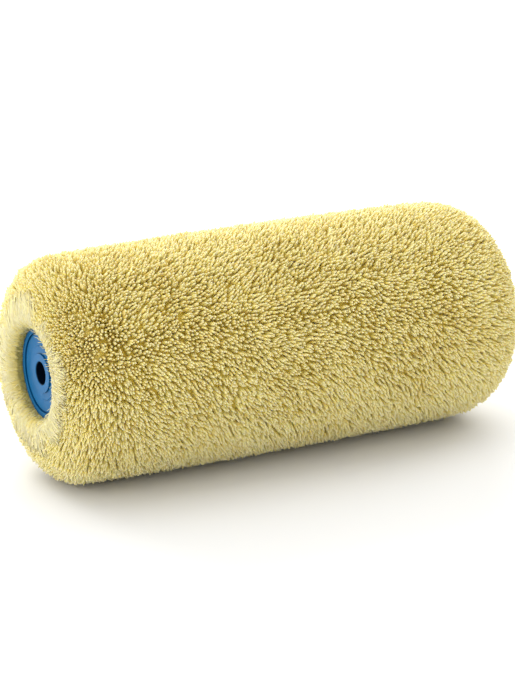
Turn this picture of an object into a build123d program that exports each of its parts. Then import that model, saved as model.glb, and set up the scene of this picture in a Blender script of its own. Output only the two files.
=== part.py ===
"""Long-pile paint roller sleeve: a wound plastic core, a wound pile fabric and two end caps.

Millimetres. The origin is the middle of the roller on its axis. +X runs along the axis, from the
left cap to the right cap, and +Z is up.
"""

import os

from build123d import *

# Driving dimensions
CORE_LENGTH = 180.0
BORE_RADIUS = 4.2
FLANGE_RADIUS = 17.2
PILE_RADIUS = 42.0
PILE_OVERHANG = 6.5

# Core tube: two plastic strips, one wound over the other
CORE_BORE_RADIUS = 14.8
STRIP_THICKNESS = 1.0
STRIP_PITCH = 62.0
STRIP_SEAM = 0.4
ADHESIVE_THICKNESS = 0.2
BACKING_THICKNESS = 0.8
CORE_MIDDLE_RADIUS = CORE_BORE_RADIUS + STRIP_THICKNESS
CORE_RADIUS = CORE_MIDDLE_RADIUS + STRIP_THICKNESS
BACKING_INNER_RADIUS = CORE_RADIUS + ADHESIVE_THICKNESS
BACKING_RADIUS = BACKING_INNER_RADIUS + BACKING_THICKNESS

# Pile: the tufts at the end stand out past the core in a lip around the cap, then round over
LIP_RADIUS = 3.2
SHOULDER_LENGTH = 17.5

# End cap. Depths are measured inwards from the outer ring's face
FLANGE_THICKNESS = 1.2
FLANGE_EDGE_RADIUS = 0.4
PLATE_DEPTH = 1.8
GROOVE_INNER_RADIUS = 14.2
GROOVE_OUTER_RADIUS = 14.8
GROOVE_DEPTH = 0.75
WELL_DEPTH = 0.4
LAND_RADIUS = 9.8
LAND_SLOPE = 0.25
LAND_DEPTH = 0.15
HUB_FACE_RADIUS = 7.2
HUB_FACE_HEIGHT = 0.5
HUB_EDGE_RADIUS = 0.15
HUB_TUBE_RADIUS = 6.2
HUB_DEPTH = 17.2
BORE_CHAMFER = 0.3
SKIRT_RADIUS = 14.5
SKIRT_WALL = 1.4
SKIRT_DEPTH = 13.2
SKIRT_CHAMFER = 0.5
WEB_COUNT = 6
WEB_THICKNESS = 1.2
WEB_DEPTH = 11.0
CRUSH_RIB_COUNT = 12
CRUSH_RIB_RADIUS = 0.4
CRUSH_RIB_START = 2.4
CRUSH_RIB_LENGTH = 9.0


def ring(inner, outer, length):
    """A plain tube around the roller's axis, centred on the origin."""
    wall = Circle(outer) - Circle(inner)
    return extrude(Plane.YZ.offset(-length / 2) * wall, length)


def seam_cutter(inner, outer, turn):
    """A thin helical slot that cuts a tube into one wound strip. turn sets where the slot starts."""
    spare = STRIP_PITCH / 4
    middle = (inner + outer) / 2
    depth = 3 * (outer - inner)
    path = Helix(
        pitch=STRIP_PITCH,
        height=CORE_LENGTH + 2 * spare,
        radius=middle,
        center=(-CORE_LENGTH / 2 - spare, 0, 0),
        direction=(1, 0, 0),
    )
    start = path @ 0
    outward = Vector(0, start.Y, start.Z)
    section = Plane(origin=start, x_dir=outward, z_dir=path % 0) * Rectangle(depth, STRIP_SEAM)
    slot = sweep(section, path=path, is_frenet=True)
    return slot.rotate(Axis.X, turn)


def wound_strip(inner, outer, turn):
    """One strip wound edge to edge into a tube, with a fine helical seam between its turns."""
    return ring(inner, outer, CORE_LENGTH) - seam_cutter(inner, outer, turn)


def pile_body():
    """The outer shape of the tufts: a thick sleeve with a rounded lip around the cap at each end."""
    end = CORE_LENGTH / 2
    crest = end + PILE_OVERHANG
    crest_radius = BACKING_RADIUS + LIP_RADIUS
    lip_start = crest - LIP_RADIUS
    shoulder = crest - SHOULDER_LENGTH
    dome_height = PILE_RADIUS - crest_radius
    wall = Line((end, BACKING_RADIUS), (lip_start, BACKING_RADIUS))
    lip = CenterArc((lip_start, crest_radius), LIP_RADIUS, 270, 90)
    dome = EllipticalCenterArc((shoulder, crest_radius), SHOULDER_LENGTH, dome_height, 0, arc_size=90)
    top = Line((shoulder, PILE_RADIUS), (-shoulder, PILE_RADIUS))
    root = Line((-end, BACKING_RADIUS), (end, BACKING_RADIUS))
    right_end = [wall, lip, dome]
    left_end = [edge.mirror(Plane.YZ) for edge in right_end]
    outline = make_face([root, top, *right_end, *left_end])
    return revolve(outline, Axis.X)


def cap_profile():
    """Half section of the cap, as (depth, radius), with the outer ring's face at depth 0."""
    hub_face = -HUB_FACE_HEIGHT
    skirt_inside = SKIRT_RADIUS - SKIRT_WALL
    return [
        (hub_face, BORE_RADIUS + BORE_CHAMFER),
        (hub_face, HUB_FACE_RADIUS),
        (LAND_DEPTH, HUB_FACE_RADIUS),
        (LAND_DEPTH, LAND_RADIUS),
        (WELL_DEPTH, LAND_RADIUS + LAND_SLOPE),
        (WELL_DEPTH, GROOVE_INNER_RADIUS),
        (GROOVE_DEPTH, GROOVE_INNER_RADIUS),
        (GROOVE_DEPTH, GROOVE_OUTER_RADIUS),
        (0, GROOVE_OUTER_RADIUS),
        (0, FLANGE_RADIUS),
        (FLANGE_THICKNESS, FLANGE_RADIUS),
        (FLANGE_THICKNESS, SKIRT_RADIUS),
        (SKIRT_DEPTH - SKIRT_CHAMFER, SKIRT_RADIUS),
        (SKIRT_DEPTH, SKIRT_RADIUS - SKIRT_CHAMFER),
        (SKIRT_DEPTH, skirt_inside),
        (PLATE_DEPTH, skirt_inside),
        (PLATE_DEPTH, HUB_TUBE_RADIUS),
        (HUB_DEPTH, HUB_TUBE_RADIUS),
        (HUB_DEPTH, BORE_RADIUS + BORE_CHAMFER),
        (HUB_DEPTH - BORE_CHAMFER, BORE_RADIUS),
        (hub_face + BORE_CHAMFER, BORE_RADIUS),
    ]


def circle_edges(part, depth, radius):
    """The circular edges of a turned part that lie at a depth and have a radius."""
    circles = part.edges().filter_by(GeomType.CIRCLE)
    return [e for e in circles if abs(e.radius - radius) < 1e-3 and abs(e.center().X - depth) < 1e-3]


def cap_webs():
    """Stiffening webs that join the hub tube to the skirt behind the face."""
    reach = SKIRT_RADIUS - SKIRT_WALL / 2 - HUB_TUBE_RADIUS + WEB_THICKNESS / 2
    height = WEB_DEPTH - PLATE_DEPTH
    web = Box(height, WEB_THICKNESS, reach)
    inner = HUB_TUBE_RADIUS - WEB_THICKNESS / 2
    web = Pos((PLATE_DEPTH + WEB_DEPTH) / 2, 0, inner + reach / 2) * web
    return [web.rotate(Axis.X, i * 360 / WEB_COUNT) for i in range(WEB_COUNT)]


def crush_ribs():
    """Small ribs along the skirt that grip the core's bore."""
    rib = Cylinder(CRUSH_RIB_RADIUS, CRUSH_RIB_LENGTH, rotation=(0, 90, 0))
    middle = CRUSH_RIB_START + CRUSH_RIB_LENGTH / 2
    rib = Pos(middle, 0, CORE_BORE_RADIUS - CRUSH_RIB_RADIUS) * rib
    return [rib.rotate(Axis.X, (i + 0.5) * 360 / CRUSH_RIB_COUNT) for i in range(CRUSH_RIB_COUNT)]


def end_cap():
    """One moulded cap, with its outer ring's face at X = 0 and its skirt towards +X."""
    cap = revolve(make_face(Polyline(*cap_profile(), close=True)), Axis.X)
    cap = fillet(circle_edges(cap, 0, FLANGE_RADIUS), FLANGE_EDGE_RADIUS)
    cap = fillet(circle_edges(cap, -HUB_FACE_HEIGHT, HUB_FACE_RADIUS), HUB_EDGE_RADIUS)
    for piece in cap_webs() + crush_ribs():
        cap = cap + piece
    return cap


def place_left(cap):
    """Seats a cap in the core's left end, with its flange against the end of the tube."""
    return Pos(-CORE_LENGTH / 2 - FLANGE_THICKNESS, 0, 0) * cap


def main():
    left_cap = place_left(end_cap())
    parts = {
        "core_inner_strip": wound_strip(CORE_BORE_RADIUS, CORE_MIDDLE_RADIUS, 0),
        "core_outer_strip": wound_strip(CORE_MIDDLE_RADIUS, CORE_RADIUS, 180),
        "adhesive_film": ring(CORE_RADIUS, BACKING_INNER_RADIUS, CORE_LENGTH),
        "pile_backing": wound_strip(BACKING_INNER_RADIUS, BACKING_RADIUS, 90),
        "pile": pile_body(),
        "left_end_cap": left_cap,
        "right_end_cap": left_cap.rotate(Axis.Z, 180),
    }
    os.makedirs("parts", exist_ok=True)
    for name, part in parts.items():
        export_step(part, f"parts/{name}.step")
        print(name, round(part.volume), "mm3")


main()
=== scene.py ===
"""A long-pile paint roller sleeve: materials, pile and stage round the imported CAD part.

Blender's objects are in metres, in the part's own frame. The pile's own sums are in millimetres.
The roller's axis is X, and an angle round it runs from +Y towards +Z.
"""

import math

import bpy
import numpy as np
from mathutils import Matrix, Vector, kdtree

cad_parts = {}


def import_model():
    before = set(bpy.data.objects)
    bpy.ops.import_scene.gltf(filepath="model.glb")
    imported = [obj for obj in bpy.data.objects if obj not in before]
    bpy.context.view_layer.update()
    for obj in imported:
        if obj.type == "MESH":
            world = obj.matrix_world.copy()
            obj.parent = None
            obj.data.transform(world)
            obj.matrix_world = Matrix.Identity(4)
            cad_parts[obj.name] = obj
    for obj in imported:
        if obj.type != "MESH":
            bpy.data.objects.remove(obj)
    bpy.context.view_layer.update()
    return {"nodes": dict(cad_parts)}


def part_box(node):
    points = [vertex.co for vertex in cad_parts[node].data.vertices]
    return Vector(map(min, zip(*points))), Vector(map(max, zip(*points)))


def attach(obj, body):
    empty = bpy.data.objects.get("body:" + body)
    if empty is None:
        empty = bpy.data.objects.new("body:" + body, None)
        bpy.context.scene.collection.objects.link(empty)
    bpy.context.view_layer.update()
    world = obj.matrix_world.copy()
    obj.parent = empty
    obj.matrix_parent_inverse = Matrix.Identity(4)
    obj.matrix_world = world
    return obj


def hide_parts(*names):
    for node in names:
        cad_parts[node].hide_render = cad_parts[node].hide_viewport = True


MM = 0.001
SEED = 7
AXIS = np.array([1.0, 0.0, 0.0])

# Camera: where it stands, seen from the middle of the roller
CAMERA_AZIMUTH = math.radians(-28.86)
CAMERA_ELEVATION = math.radians(17.25)
CAMERA_DISTANCE = 1.038
CAMERA_LENS = 145.4
CAMERA_SENSOR = 36.0
CAMERA_SHIFT = (-0.0098, -0.0098)

# Lights: name, place, size and watts. Each faces the roller.
LIGHTS = (
    ("key_above", (-0.3, 0.1, 1.2), (0.9, 0.6), 3),
    ("rim_behind", (0.2, 1.15, 0.6), (1.6, 0.8), 19),
    ("soft_right", (1.2, 0.4, 0.8), (0.8, 0.8), 5),
    ("key_left", (-1.2, -0.35, 0.5), (0.8, 0.8), 5),
)
FLOOR_HALF_WIDTH = 6.0

# The pile's outline, in millimetres: how each end is rounded, and how much the middle swells
END_POWERS = {"left": 2.3, "right": 2.15}
END_DOMES = {"left": 16.0, "right": 23.0}
END_SHORTFALLS = {"left": 0.2, "right": 1.3}
LIP_RADIUS = 3.2
MIDDLE_SWELL = 0.9

# Standing yarns, in millimetres: tips on the outline, rings at these shares of their length,
# and thickest three quarters of the way up. They stand closer near the ends.
YARN_SPACING = 1.42
END_YARN_SPACING = 1.04
CLOSE_UP_TO = 14
CLOSE_BLEND = 24
YARN_SIDES = 4
YARN_RINGS = (0.0, 0.5, 0.76, 0.85, 0.92, 0.975)
YARN_RADII = (0.5, 0.75, 0.87, 0.83, 0.66, 0.36)
FIRST_YARN = 5.6
TIP_SCATTER = 0.24
TIP_WAVES = 0.25
LOCK_PULL = 0.33
YARNS_IN_A_LOCK = 4
ROW_PITCH = 0.87
ROOT_SET_BACK = 0.6
CURVE_HANDLE = 0.33
PIECES = 12

# How the yarns lean: over each end near it (the reach is in millimetres), round and along the
# roller everywhere, and drifting in waves of these lengths
CREST_LEAN = math.radians(69)
LEAN_REACH = 49
AROUND_LEAN = 0.28
ALONG_LEAN = 0.22
SLOW_DRIFT = 0.13
QUICK_DRIFT = 0.17
LEAN_SCATTER = 0.09
SLOW_WAVE = 38
QUICK_WAVE = 13

# Finer fibres at the ends, in millimetres: tufts combed over each lip, and a few that stand off it
END_FIBRES = 4900
END_TUFTS = 420
END_FIBRE_RADIUS = 0.44
END_FIBRE_POINTS = 8
STRAY_FIBRES = 140
STRAY_RADIUS = 0.16
STRAY_POINTS = 6
FIBRE_SIDES = 3
FIBRE_TAPER = 0.75

# The dense bed below the tips, in millimetres
BED_DEPTH = 3.5
END_BED_DEPTH = 0.7
BED_BUMPS = 0.35
# the bed's painted shade fades to pale towards each end between these distances from the middle
BED_SHADE_FADES_FROM = 82
BED_SHADE_FADES_TO = 91
BED_GRID = (130, 240)
BED_INNER_RINGS = 30

# Yarns differ a little: each takes one of these strips of its piece's texture
SHADES = 64

# The pile fabric's knitted ground, in millimetres: a strip wound round the core
BACKING_PITCH = 62.0
BACKING_SEAM = 0.4
KNIT_COURSE = 2.3
KNIT_WALE = 2.6
KNIT_RELIEF = 0.35
KNIT_GRID = (270, 170)

# The end cap's bore, in millimetres: the painted shade that turns its wall nearly black ends between
# these radii
BORE_SHADE_FROM = 4.24
BORE_SHADE_TO = 4.4


def lerp(a, b, t):
    return a + (b - a) * t


def smoothstep(t):
    t = np.clip(t, 0, 1)
    return t * t * (3 - 2 * t)


# ---------------------------------------------------------------- materials

def new_material(name):
    material = bpy.data.materials.new(name)
    material.use_nodes = True
    tree = material.node_tree
    return material, tree, tree.nodes["Principled BSDF"]


def add_node(tree, kind, inputs=None, **settings):
    node = tree.nodes.new(kind)
    for key, value in settings.items():
        setattr(node, key, value)
    for key, value in (inputs or {}).items():
        if isinstance(value, bpy.types.NodeSocket):
            tree.links.new(value, node.inputs[key])
        else:
            node.inputs[key].default_value = value
    return node


def ramp(tree, factor, stops):
    node = add_node(tree, "ShaderNodeValToRGB", {"Fac": factor})
    elements = node.color_ramp.elements
    while len(elements) < len(stops):
        elements.new(0.5)
    for element, (place, colour) in zip(elements, stops):
        element.position = place
        element.color = (*colour, 1)
    return node.outputs["Color"]


def pile_material(name, stops):
    """Nylon yarn, coloured from root to tip by the stops: mustard between the tips and pale at them,
    the pale tips painted sheen and any darker roots painted shade; each yarn a little different.
    """
    material, tree, shader = new_material(name)
    uv = add_node(tree, "ShaderNodeUVMap", uv_map="OFBake")
    parts = add_node(tree, "ShaderNodeSeparateXYZ", {"Vector": uv.outputs["UV"]})
    along = ramp(tree, parts.outputs["Y"], stops)
    shade = ramp(tree, parts.outputs["X"], [
        (0.0, (0.84, 0.77, 0.55)),
        (0.5, (0.96, 0.95, 0.90)),
        (1.0, (1.0, 1.0, 1.0)),
    ])
    mix = add_node(tree, "ShaderNodeMix", data_type="RGBA", blend_type="MULTIPLY")
    mix.inputs["Factor"].default_value = 1.0
    tree.links.new(along, mix.inputs["A"])
    tree.links.new(shade, mix.inputs["B"])
    tree.links.new(mix.outputs["Result"], shader.inputs["Base Color"])
    set_pile_gloss(shader)
    return material


def set_pile_gloss(shader):
    """The sheen of a soft synthetic yarn, with a little light passing through it."""
    shader.inputs["Roughness"].default_value = 0.45
    shader.inputs["Specular IOR Level"].default_value = 0.3
    shader.inputs["Specular Tint"].default_value = (1.0, 0.95, 0.8, 1)
    shader.inputs["Sheen Weight"].default_value = 0.4
    shader.inputs["Sheen Roughness"].default_value = 0.3
    shader.inputs["Sheen Tint"].default_value = (1.0, 0.97, 0.86, 1)
    shader.inputs["Subsurface Weight"].default_value = 0.35
    shader.inputs["Subsurface Radius"].default_value = (1.0, 0.8, 0.25)
    shader.inputs["Subsurface Scale"].default_value = 0.0010


def noise_node(tree, coords, scale, detail):
    return add_node(tree, "ShaderNodeTexNoise", {
        "Vector": coords.outputs["Object"],
        "Scale": scale,
        "Detail": detail,
    })


def bed_material():
    """Painted shade: darker olive through the barrel, where it shows between yarns, and pale towards
    the ends, where only fibres cover it.
    """
    material, tree, shader = new_material("pile_bed")
    coords = add_node(tree, "ShaderNodeTexCoord")
    noise = noise_node(tree, coords, 700.0, 4.0)
    place = add_node(tree, "ShaderNodeSeparateXYZ", {"Vector": coords.outputs["Object"]})
    from_middle = add_node(tree, "ShaderNodeMath", {0: place.outputs["X"]}, operation="ABSOLUTE")
    end = add_node(tree, "ShaderNodeMapRange", {
        "Value": from_middle.outputs["Value"],
        "From Min": BED_SHADE_FADES_FROM * MM,
        "From Max": BED_SHADE_FADES_TO * MM,
        "To Max": 0.8,
    })
    mottle = add_node(tree, "ShaderNodeMath", {
        0: noise.outputs["Fac"],
        1: 0.35,
        2: end.outputs["Result"],
    }, operation="MULTIPLY_ADD")
    # painted shade: the dark olive stops stand for the shade between yarns, lifted to pale near the
    # ends
    colour = ramp(tree, mottle.outputs["Value"], [
        (0.1, (0.56, 0.41, 0.045)),
        (0.25, (0.70, 0.54, 0.08)),
        (1.0, (0.92, 0.80, 0.32)),
    ])
    tree.links.new(colour, shader.inputs["Base Color"])
    set_pile_gloss(shader)
    return material


def cap_material():
    """Blue moulded plastic with painted shade: the bore's wall is painted nearly black, and ambient
    occlusion paints the grooves and other hollows a little darker.
    """
    material, tree, shader = new_material("cap_plastic")
    coords = add_node(tree, "ShaderNodeTexCoord")
    grain = noise_node(tree, coords, 900.0, 3.0)
    cloud = noise_node(tree, coords, 120.0, 2.0)
    colour = ramp(tree, cloud.outputs["Fac"], [
        (0.3, (0.005, 0.115, 0.29)),
        (0.7, (0.008, 0.135, 0.34)),
    ])
    place = add_node(tree, "ShaderNodeSeparateXYZ", {"Vector": coords.outputs["Object"]})
    across = add_node(tree, "ShaderNodeCombineXYZ", {"Y": place.outputs["Y"], "Z": place.outputs["Z"]})
    radius = add_node(tree, "ShaderNodeVectorMath", {0: across.outputs["Vector"]}, operation="LENGTH")
    # painted shade: inside the bore's radius the plastic's colour goes to nearly black
    wall = add_node(tree, "ShaderNodeMapRange", {
        "Value": radius.outputs["Value"],
        "From Min": BORE_SHADE_FROM * MM,
        "From Max": BORE_SHADE_TO * MM,
    })
    mix = add_node(tree, "ShaderNodeMix", {"Factor": wall.outputs["Result"]}, data_type="RGBA")
    mix.inputs["A"].default_value = (0.0, 0.004, 0.012, 1)
    tree.links.new(colour, mix.inputs["B"])
    # painted shade: ambient occlusion darkens the grooves and other hollows, down to 35 percent of the
    # colour
    cavity_shade = add_node(tree, "ShaderNodeAmbientOcclusion", {"Distance": 0.003}, samples=12)
    shaded = add_node(tree, "ShaderNodeMapRange", {
        "Value": cavity_shade.outputs["AO"],
        "From Min": 0.3,
        "From Max": 0.85,
        "To Min": 0.35,
        "To Max": 1.0,
    })
    final = add_node(tree, "ShaderNodeVectorMath", {
        0: mix.outputs["Result"],
        1: shaded.outputs["Result"],
    }, operation="MULTIPLY")
    tree.links.new(final.outputs["Vector"], shader.inputs["Base Color"])
    shader.inputs["Specular IOR Level"].default_value = 0.15
    rough = add_node(tree, "ShaderNodeMapRange", {
        "Value": grain.outputs["Fac"],
        "To Min": 0.3,
        "To Max": 0.42,
    })
    tree.links.new(rough.outputs["Result"], shader.inputs["Roughness"])
    bump = add_node(tree, "ShaderNodeBump", {
        "Height": grain.outputs["Fac"],
        "Strength": 0.05,
        "Distance": 0.0001,
    })
    tree.links.new(bump.outputs["Normal"], shader.inputs["Normal"])
    return material


def plain_plastic(name, low, high, roughness):
    material, tree, shader = new_material(name)
    coords = add_node(tree, "ShaderNodeTexCoord")
    cloud = noise_node(tree, coords, 150.0, 3.0)
    colour = ramp(tree, cloud.outputs["Fac"], [(0.3, low), (0.7, high)])
    tree.links.new(colour, shader.inputs["Base Color"])
    shader.inputs["Roughness"].default_value = roughness
    return material


def backing_material():
    """Off-white knitted ground with a fine thread pattern."""
    material, tree, shader = new_material("backing_knit")
    coords = add_node(tree, "ShaderNodeTexCoord")
    noise = noise_node(tree, coords, 900.0, 5.0)
    thread = add_node(tree, "ShaderNodeTexWave", {
        "Vector": coords.outputs["Object"],
        "Scale": 260.0,
        "Distortion": 2.5,
    })
    blend = add_node(tree, "ShaderNodeMath", {
        0: noise.outputs["Fac"],
        1: thread.outputs["Fac"],
    }, operation="MULTIPLY")
    colour = ramp(tree, blend.outputs["Value"], [(0.1, (0.62, 0.55, 0.33)), (0.5, (0.82, 0.78, 0.62))])
    tree.links.new(colour, shader.inputs["Base Color"])
    bump = add_node(tree, "ShaderNodeBump", {
        "Height": blend.outputs["Value"],
        "Strength": 0.4,
        "Distance": 0.0002,
    })
    tree.links.new(bump.outputs["Normal"], shader.inputs["Normal"])
    shader.inputs["Roughness"].default_value = 0.9
    return material


def floor_material():
    material, _, shader = new_material("studio_floor")
    shader.inputs["Base Color"].default_value = (0.78, 0.78, 0.77, 1)
    shader.inputs["Roughness"].default_value = 0.9
    return material


# ---------------------------------------------------------------- pile

class Envelope:
    """The outline that the pile fills, as (x, r) in millimetres at a distance s from the left foot."""

    def __init__(self, half_length, radius, root_radius, left, right):
        left = self.end_curve(radius, root_radius, half_length, **left) * [-1, 1]
        right = self.end_curve(radius, root_radius, half_length, **right)
        middle_x = np.linspace(left[-1, 0], right[-1, 0], 200)[1:-1]
        along = (middle_x - middle_x[0]) / (middle_x[-1] - middle_x[0])
        swell = MIDDLE_SWELL * np.sin(math.pi * along) ** 0.7
        middle = np.column_stack([middle_x, radius + swell])
        self.points = np.vstack([left, middle, right[::-1]])
        steps = np.hypot(*np.diff(self.points, axis=0).T)
        self.s = np.concatenate([[0], np.cumsum(steps)])
        self.length = self.s[-1]
        tangent = np.gradient(self.points, self.s, axis=0)
        tangent /= np.linalg.norm(tangent, axis=1)[:, None]
        self.normals = np.column_stack([-tangent[:, 1], tangent[:, 0]])

    @staticmethod
    def end_curve(radius, root_radius, half_length, overhang, dome, power, lip):
        """From the foot of the wall round the lip to the crest, then over the dome to the shoulder."""
        crest = half_length + overhang
        crest_radius = root_radius + lip
        wall_x = np.linspace(half_length, crest - lip, 6)[:-1]
        wall = np.column_stack([wall_x, np.full(len(wall_x), root_radius)])
        turn = np.linspace(-math.pi / 2, 0, 12)[:-1]
        arc_x = crest - lip + lip * np.cos(turn)
        arc = np.column_stack([arc_x, crest_radius + lip * np.sin(turn)])
        t = np.linspace(0, math.pi / 2, 60)
        x = crest - dome + dome * np.cos(t) ** (2 / power)
        r = crest_radius + (radius - crest_radius) * np.sin(t) ** (2 / power)
        return np.vstack([wall, arc, np.column_stack([x, r])])

    def at(self, s, depth=0.0):
        """(x, r) at s, depth below the surface."""
        return tuple(
            np.interp(s, self.s, self.points[:, i]) - depth * np.interp(s, self.s, self.normals[:, i])
            for i in range(2)
        )


def wave_field(rng, wavelength, waves=14):
    """A smooth random field over space, about -1 to 1."""
    directions = rng.normal(size=(waves, 3))
    directions /= np.linalg.norm(directions, axis=1)[:, None]
    lengths = wavelength * rng.uniform(0.7, 1.5, waves)
    phases = rng.uniform(0, 2 * math.pi, waves)

    def field(points):
        total = np.sin(points @ (directions / lengths[:, None]).T * 2 * math.pi + phases).sum(axis=1)
        return total * math.sqrt(2 / waves) * 0.7

    return field


def round_axis(x, r, angle):
    """Points at x along the roller's axis and r from it, at an angle round it."""
    x, r, angle = np.broadcast_arrays(x, r, angle)
    return np.stack([x, r * np.cos(angle), r * np.sin(angle)], axis=-1)


def unit(v):
    return v / np.linalg.norm(v, axis=-1, keepdims=True)


def yarn_spacing(from_end):
    """Yarns stand closer, and are finer, on the end's dome than on the barrel."""
    return lerp(END_YARN_SPACING, YARN_SPACING, smoothstep((from_end - CLOSE_UP_TO) / CLOSE_BLEND))


def yarn_tips(envelope, rng):
    """Evenly scattered places on the envelope, as s and angle."""
    all_s, all_angle = [], []
    s = FIRST_YARN
    while s < envelope.length - FIRST_YARN:
        spacing = float(yarn_spacing(min(s, envelope.length - s)))
        s += spacing * ROW_PITCH
        count = round(2 * math.pi * float(envelope.at(s)[1]) / spacing)
        angle = (np.arange(count) + rng.random() + rng.normal(0, 0.22, count)) * 2 * math.pi / count
        all_angle.append(angle)
        all_s.append(s + rng.normal(0, 0.25, count) * spacing)
    return np.concatenate(all_s), np.concatenate(all_angle)


class Lie:
    """Which way the pile stands: out from the axis, over each end near it, and drifting between."""

    def __init__(self, rng):
        self.rng = rng
        self.slow = [wave_field(rng, SLOW_WAVE) for _ in range(2)]
        self.quick = [wave_field(rng, QUICK_WAVE) for _ in range(2)]

    def direction(self, place, angle, side, reach):
        n = len(angle)
        radial = round_axis(0, 1, angle)
        around = np.cross(AXIS, radial)
        end_lean = side * np.tan(CREST_LEAN * (1 - reach))
        drift = [
            SLOW_DRIFT * slow(place) + QUICK_DRIFT * quick(place) + self.rng.normal(0, LEAN_SCATTER, n)
            for slow, quick in zip(self.slow, self.quick)
        ]
        lean_x = drift[0] + end_lean + ALONG_LEAN * smoothstep(1.2 * reach)
        lean_a = drift[1] + AROUND_LEAN
        return unit(radial + lean_x[:, None] * AXIS + lean_a[:, None] * around)


def along_pile(envelope, s):
    """For places on the envelope: which end they belong to, and how far from its crest, 0 to 1."""
    from_end = np.minimum(s, envelope.length - s)
    side = np.where(s < envelope.length / 2, -1.0, 1.0)
    return from_end, side, np.clip((from_end - FIRST_YARN) / LEAN_REACH, 0, 1)


def barrel_yarns(envelope, half_length, root_radius, lie, rng):
    """The standing yarns' centre lines (rings by yarns by xyz), angles and relative widths."""
    s, angle = yarn_tips(envelope, rng)
    n = len(s)
    from_end, side, reach = along_pile(envelope, s)
    tip_x, tip_r = envelope.at(s)
    tip = round_axis(tip_x, tip_r, angle)
    direction = lie.direction(tip, angle, side, reach)
    tip = gather(tip, rng)
    length_change = rng.normal(0, TIP_SCATTER, n) + TIP_WAVES * wave_field(rng, 6)(tip)
    tip += length_change[:, None] * direction

    lean = np.tan(CREST_LEAN * (1 - reach))
    root_x = np.minimum(half_length - 0.5, side * tip_x - ROOT_SET_BACK * (tip_r - root_radius) * lean)
    root = round_axis(side * root_x, root_radius, angle)
    low = unit(round_axis(side * lean, 1, angle))
    handle = CURVE_HANDLE * np.linalg.norm(tip - root, axis=1)[:, None]
    p1 = root + handle * low
    p2 = tip - handle * direction
    t = np.array(YARN_RINGS + (1.0,))[:, None, None]
    centre = (1 - t) ** 3 * root + 3 * (1 - t) ** 2 * t * p1 + 3 * (1 - t) * t ** 2 * p2 + t ** 3 * tip
    return centre, angle, yarn_spacing(from_end) / YARN_SPACING


def gather(tips, rng):
    """Pulls each tip part of the way to one of many scattered centres, so that small locks form."""
    centres = tips[rng.choice(len(tips), len(tips) // YARNS_IN_A_LOCK, replace=False)]
    tree = kdtree.KDTree(len(centres))
    for i, centre in enumerate(centres):
        tree.insert(centre, i)
    tree.balance()
    nearest = np.array([tree.find(tip)[1] for tip in tips])
    pull = rng.uniform(0.0, LOCK_PULL, len(centres))[nearest]
    return tips + (centres[nearest] - tips) * pull[:, None]


def end_fibres(envelope, side, count, rng):
    """Fine fibres, in tufts, that come up out of the recess, over the lip, and lie over the end."""
    tuft = rng.integers(0, END_TUFTS, count)
    across = rng.normal(0, 0.045, count)
    angle = rng.uniform(0, 2 * math.pi, END_TUFTS)[tuft] + across
    stop = (8.5 + 9 * rng.random(END_TUFTS) ** 1.4)[tuft] + rng.uniform(-1.5, 1.5, count)
    start = rng.uniform(0.2, 3.0, count)
    height = rng.uniform(-0.2, 0.25, END_TUFTS)[tuft]
    t = np.linspace(0, 1, END_FIBRE_POINTS)[:, None]
    s = start + (stop - start) * t
    foot_depth, tip_depth = rng.uniform(-0.9, 0.3, count), rng.uniform(0.1, 1.1, count)
    depth = lerp(foot_depth, tip_depth, smoothstep(t * 2.2)) - 0.3 * t ** 4 + height * t
    place = s if side < 0 else envelope.length - s
    x, r = envelope.at(place, depth)
    half_way = END_FIBRE_POINTS // 2
    middle = round_axis(x[half_way], r[half_way], angle)
    bend = (
        0.10 * wave_field(rng, 22)(middle)
        + 0.05 * wave_field(rng, 8)(middle)
        + rng.normal(0, 0.035, count)
    )
    return round_axis(x, r, angle + bend * t ** 1.3 - 0.4 * across * t ** 2), angle


def stray_fibres(envelope, side, count, rng):
    """A few fibres that stand off the lip over the cap."""
    angle = rng.uniform(0, 2 * math.pi, count)
    t = np.linspace(0, 1, STRAY_POINTS)[:, None]
    s = 1.0 + rng.uniform(4, 7, count) * t
    depth = 0.2 - rng.uniform(0.4, 2.1, count) * t ** 1.5
    x, r = envelope.at(s if side < 0 else envelope.length - s, depth)
    return round_axis(x, r, angle + rng.normal(0, 0.06, count) * t), angle


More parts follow.
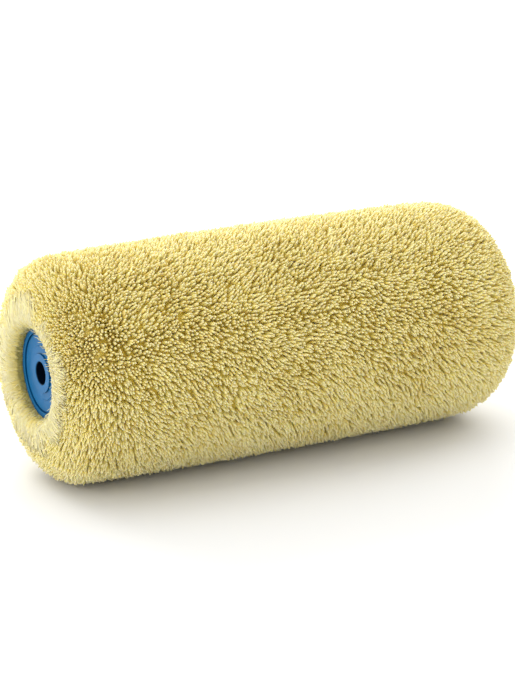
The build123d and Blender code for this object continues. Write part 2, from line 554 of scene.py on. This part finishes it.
def tube_mesh(name, centre, angle, radii, sides, height, shade, material, rng):
    """Tapering yarns along centre lines (rings by yarns by xyz), each closed at both ends."""
    rings, n = centre.shape[0] - 1, centre.shape[1]
    tangent = unit(np.gradient(centre, axis=0))[:rings]
    around = np.cross(AXIS, round_axis(0, 1, angle))
    side = unit(around - (around * tangent).sum(2, keepdims=True) * tangent)
    up = np.cross(tangent, side)
    turn = rng.uniform(0, 2 * math.pi, n) + np.arange(rings)[:, None] * 0.4
    corner = turn[..., None] + np.arange(sides) * 2 * math.pi / sides
    width = radii[:, :, None, None]
    section = np.cos(corner)[..., None] * side[:, :, None] + np.sin(corner)[..., None] * up[:, :, None]
    points = centre[:rings, :, None] + width * section
    points = points.transpose(1, 0, 2, 3).reshape(n, rings * sides, 3)
    vertices = np.concatenate([points, centre[rings][:, None]], axis=1)
    per = rings * sides + 1

    walls = []
    for k in range(rings - 1):
        for j in range(sides):
            a, b = k * sides + j, k * sides + (j + 1) % sides
            walls.append([a, b, b + sides, a + sides])
    last = (rings - 1) * sides
    points_in = [[last + j, last + (j + 1) % sides, per - 1] for j in range(sides)]
    base = list(range(sides))[::-1]
    offsets = (np.arange(n) * per)[:, None, None]
    groups = [np.array(walls) + offsets, np.array(points_in) + offsets, np.array([base]) + offsets]
    groups = [g.reshape(-1, g.shape[-1]) for g in groups]
    loops = np.concatenate([g.ravel() for g in groups])
    sizes = np.concatenate([np.full(len(g), g.shape[1]) for g in groups])
    starts = np.concatenate([[0], np.cumsum(sizes)[:-1]])

    mesh = bpy.data.meshes.new(name)
    mesh.vertices.add(n * per)
    mesh.vertices.foreach_set("co", (vertices.reshape(-1, 3) * MM).astype(np.float32).ravel())
    mesh.loops.add(len(loops))
    mesh.loops.foreach_set("vertex_index", loops.astype(np.int32))
    mesh.polygons.add(len(starts))
    mesh.polygons.foreach_set("loop_start", starts.astype(np.int32))
    mesh.polygons.foreach_set("use_smooth", np.ones(len(starts), bool))
    mesh.update(calc_edges=True)

    # the texture is a strip for each shade, from the root at the bottom to the tip at the top
    across = 0.15 + 0.7 * np.abs(1 - np.arange(sides) * 2 / sides)
    strip = np.floor(shade * SHADES)[:, None]
    uv = np.empty((n, per, 2), np.float32)
    uv[:, :-1, 0] = (strip + np.tile(across, rings)) / SHADES
    uv[:, -1, 0] = (strip[:, 0] + 0.5) / SHADES
    uv[:, :-1, 1] = np.repeat(height, sides)
    uv[:, -1, 1] = 0.995
    layer = mesh.uv_layers.new(name="OFBake")
    layer.data.foreach_set("uv", uv.reshape(-1, 2)[loops].ravel())
    mesh.materials.append(material)
    return mesh


def add_piece(mesh):
    piece = bpy.data.objects.new(mesh.name, mesh)
    bpy.context.scene.collection.objects.link(piece)
    return piece


def yarn_shade(points, rng):
    """Where each yarn lies across the texture, 0 to 1: by chance, and drifting over the roller."""
    chance = 0.2 * rng.normal(size=len(points))
    return np.clip(0.55 + chance + 0.1 * wave_field(rng, 30)(points), 0.01, 0.99)


def build_barrel(envelope, half_length, root_radius, lie, material, rng):
    """The standing yarns, in pieces that each take a share of the turn round the axis."""
    centre, angle, width = barrel_yarns(envelope, half_length, root_radius, lie, rng)
    n = len(angle)
    shade = yarn_shade(centre[-1], rng)
    radii = np.array(YARN_RADII)[:, None] * width * rng.uniform(0.85, 1.15, n)
    height = np.array(YARN_RINGS)
    order = np.argsort(angle % (2 * math.pi))
    pieces = []
    for i, chosen in enumerate(np.array_split(order, PIECES)):
        mesh = tube_mesh(
            f"pile_yarns_{i + 1:02d}", centre[:, chosen], angle[chosen], radii[:, chosen], YARN_SIDES,
            height, shade[chosen], material, rng,
        )
        pieces.append(add_piece(mesh))
    return pieces


def build_ends(envelope, material, rng):
    kinds = (
        ("end", end_fibres, END_FIBRES, END_FIBRE_RADIUS),
        ("stray", stray_fibres, STRAY_FIBRES, STRAY_RADIUS),
    )
    pieces = []
    for side, name in ((-1, "left"), (1, "right")):
        for kind, make, count, width in kinds:
            centre, angle = make(envelope, side, count, rng)
            rings = len(centre) - 1
            t = np.linspace(0, 1, rings + 1)[:-1]
            radii = (width * (1 - FIBRE_TAPER * t ** 4))[:, None] * rng.uniform(0.75, 1.25, count)
            shade = yarn_shade(centre[-1], rng)
            mesh = tube_mesh(
                f"pile_{kind}_{name}", centre, angle, radii, FIBRE_SIDES,
                t, shade, material, rng,
            )
            pieces.append(add_piece(mesh))
    return pieces


def build_bed(envelope, root_radius, rng):
    """The dense under-pile that closes the gaps between yarns: a closed ring body below the tips."""
    along, around = BED_GRID
    s = np.linspace(1.0, envelope.length - 1.0, along)
    from_end = np.minimum(s, envelope.length - s)
    depth = END_BED_DEPTH + (BED_DEPTH - END_BED_DEPTH) * smoothstep((from_end - 8) / 14)
    depth = np.minimum(depth, 0.25 + from_end * 0.3)
    x, r = envelope.at(s, depth)
    angle = np.arange(around) * 2 * math.pi / around
    outer = round_axis(x[:, None], r[:, None], angle)
    bumps = BED_BUMPS * wave_field(rng, 3.5)(outer.reshape(-1, 3)).reshape(along, around)
    bumps = bumps * smoothstep((from_end - 4) / 20)[:, None]
    outer = outer + bumps[..., None] * round_axis(0, 1, angle)
    inner_x = np.linspace(x[-1], x[0], BED_INNER_RINGS)
    inner = round_axis(inner_x[:, None], root_radius, angle)
    vertices = np.concatenate([outer, inner]).reshape(-1, 3) * MM
    total = along + len(inner_x)
    faces = []
    for k in range(total):
        for j in range(around):
            k2, j2 = (k + 1) % total, (j + 1) % around
            faces.append((k * around + j, k2 * around + j, k2 * around + j2, k * around + j2))
    mesh = bpy.data.meshes.new("pile_bed")
    mesh.from_pydata(vertices.tolist(), [], faces)
    mesh.polygons.foreach_set("use_smooth", np.ones(len(faces), bool))
    mesh.materials.append(bed_material())
    return add_piece(mesh)


# ---------------------------------------------------------------- backing

def build_backing(half_length, inner, outer, rng):
    """The pile fabric's knitted ground: one strip wound round the core, its edges at a helical seam."""
    along, around = KNIT_GRID
    x = np.linspace(-half_length, half_length, along)[:, None]
    turn = np.linspace(0, 1, around)[None]
    gap = BACKING_SEAM / outer
    seam = 2 * math.pi * (x + half_length) / BACKING_PITCH + math.pi / 2
    angle = seam + gap / 2 + (2 * math.pi - gap) * turn
    helix = math.atan2(BACKING_PITCH, 2 * math.pi * outer)
    wale = x * math.sin(helix) + outer * angle * math.cos(helix)
    course = x * math.cos(helix) - outer * angle * math.sin(helix)
    loops = np.sin(2 * math.pi * wale / KNIT_COURSE + 1.3 * np.sin(2 * math.pi * course / KNIT_WALE))
    ribs = np.cos(2 * math.pi * course / KNIT_WALE)
    relief = KNIT_RELIEF * (0.25 * loops + 0.25 * ribs - 0.5) + rng.normal(0, 0.004, (along, around))
    top = round_axis(x, outer + relief, angle)
    bottom = round_axis(x, inner, angle)
    vertices = np.concatenate([top, bottom]).reshape(-1, 3) * MM

    index = np.arange(along * around).reshape(along, around)
    under = index + along * around
    border = np.concatenate([index[0, :], index[1:, -1], index[-1, -2::-1], index[-2:0:-1, 0]])
    after = np.roll(border, -1)
    faces = np.concatenate([
        np.stack([index[:-1, :-1], index[:-1, 1:], index[1:, 1:], index[1:, :-1]], -1).reshape(-1, 4),
        np.stack([under[:-1, :-1], under[1:, :-1], under[1:, 1:], under[:-1, 1:]], -1).reshape(-1, 4),
        np.stack([after, border, border + along * around, after + along * around], -1),
    ])
    mesh = bpy.data.meshes.new("knitted_backing")
    mesh.from_pydata(vertices.tolist(), [], faces.tolist())
    mesh.polygons.foreach_set("use_smooth", np.ones(len(faces), bool))
    mesh.materials.append(backing_material())
    return add_piece(mesh)


# ---------------------------------------------------------------- stage

def add_floor(height):
    mesh = bpy.data.meshes.new("studio_floor")
    w = FLOOR_HALF_WIDTH
    corners = [(-w, -w, height), (w, -w, height), (w, w, height), (-w, w, height)]
    mesh.from_pydata(corners, [], [(0, 1, 2, 3)])
    mesh.materials.append(floor_material())
    add_piece(mesh)


def add_area(name, place, size, energy):
    data = bpy.data.lights.new(name, "AREA")
    data.shape = "RECTANGLE"
    data.size, data.size_y = size
    data.energy = energy
    light = bpy.data.objects.new(name, data)
    bpy.context.scene.collection.objects.link(light)
    light.location = place
    light.rotation_euler = Vector(place).to_track_quat("Z", "Y").to_euler()


def add_lights():
    world = bpy.data.worlds.new("studio")
    world.use_nodes = True
    background = world.node_tree.nodes["Background"]
    background.inputs["Color"].default_value = (1.0, 1.0, 1.0, 1)
    background.inputs["Strength"].default_value = 1.0
    bpy.context.scene.world = world
    for light in LIGHTS:
        add_area(*light)


def add_camera():
    a, e = CAMERA_AZIMUTH, CAMERA_ELEVATION
    back = Vector((math.sin(a) * math.cos(e), -math.cos(a) * math.cos(e), math.sin(e)))
    data = bpy.data.cameras.new("camera")
    data.sensor_fit = "VERTICAL"
    data.sensor_height = CAMERA_SENSOR
    data.lens = CAMERA_LENS
    data.shift_x, data.shift_y = CAMERA_SHIFT
    data.clip_end = 20
    camera = bpy.data.objects.new("camera", data)
    bpy.context.scene.collection.objects.link(camera)
    camera.location = back * CAMERA_DISTANCE
    camera.rotation_euler = back.to_track_quat("Z", "Y").to_euler()
    bpy.context.scene.camera = camera


def build_envelope(half_length, radius, root_radius, overhang):
    """The pile's outline: each end stands past the core's by the overhang, less its own shortfall."""
    ends = {
        side: dict(
            overhang=overhang - END_SHORTFALLS[side],
            dome=END_DOMES[side],
            power=END_POWERS[side],
            lip=LIP_RADIUS,
        )
        for side in ("left", "right")
    }
    return Envelope(half_length, radius, root_radius, **ends)


def build_pile(envelope, half_length, root_radius, rng):
    # painted sheen: the yarn pales towards its tips
    yarn = pile_material("pile_yarn", [
        (0.45, (0.90, 0.73, 0.11)),
        (0.82, (0.91, 0.76, 0.19)),
        (0.94, (0.89, 0.76, 0.28)),
        (1.0, (0.89, 0.80, 0.50)),
    ])
    # painted shade: the fibres darken towards their roots, down in the recess
    fibre = pile_material("pile_fibre", [
        (0.0, (0.84, 0.64, 0.15)),
        (0.4, (0.94, 0.82, 0.38)),
        (1.0, (0.93, 0.82, 0.42)),
    ])
    pile = build_barrel(envelope, half_length, root_radius, Lie(rng), yarn, rng)
    pile += build_ends(envelope, fibre, rng)
    pile.append(build_bed(envelope, root_radius, rng))
    return pile


def set_material(thing, material):
    thing.data.materials.clear()
    thing.data.materials.append(material)


def set_cad_materials(nodes):
    """Materials for the CAD objects that stay as they are."""
    cap = cap_material()
    for name in ("left_end_cap", "right_end_cap"):
        set_material(nodes[name], cap)
    core = plain_plastic("core_plastic", (0.5, 0.5, 0.48), (0.6, 0.6, 0.58), 0.5)
    for name in ("core_inner_strip", "core_outer_strip"):
        set_material(nodes[name], core)
    hot_melt = plain_plastic("hot_melt", (0.62, 0.50, 0.26), (0.74, 0.62, 0.36), 0.3)
    set_material(nodes["adhesive_film"], hot_melt)


def main():
    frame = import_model()
    bpy.context.scene.view_settings.view_transform = "Standard"
    add_camera()
    add_lights()
    pile_low, pile_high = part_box("pile")
    backing_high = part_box("pile_backing")[1]
    add_floor(pile_low.z)

    root_radius = backing_high.z / MM
    backing_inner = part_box("adhesive_film")[1].z / MM
    half_length = backing_high.x / MM
    overhang = pile_high.x / MM - half_length
    envelope = build_envelope(half_length, pile_high.z / MM, root_radius, overhang)
    rng = np.random.default_rng(SEED)
    pile = build_pile(envelope, half_length, root_radius, rng)
    for piece in pile:
        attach(piece, "root")
        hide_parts("pile")

    backing = build_backing(half_length, backing_inner, root_radius, rng)
    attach(backing, "root")
    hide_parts("pile_backing")

    set_cad_materials(frame["nodes"])


main()
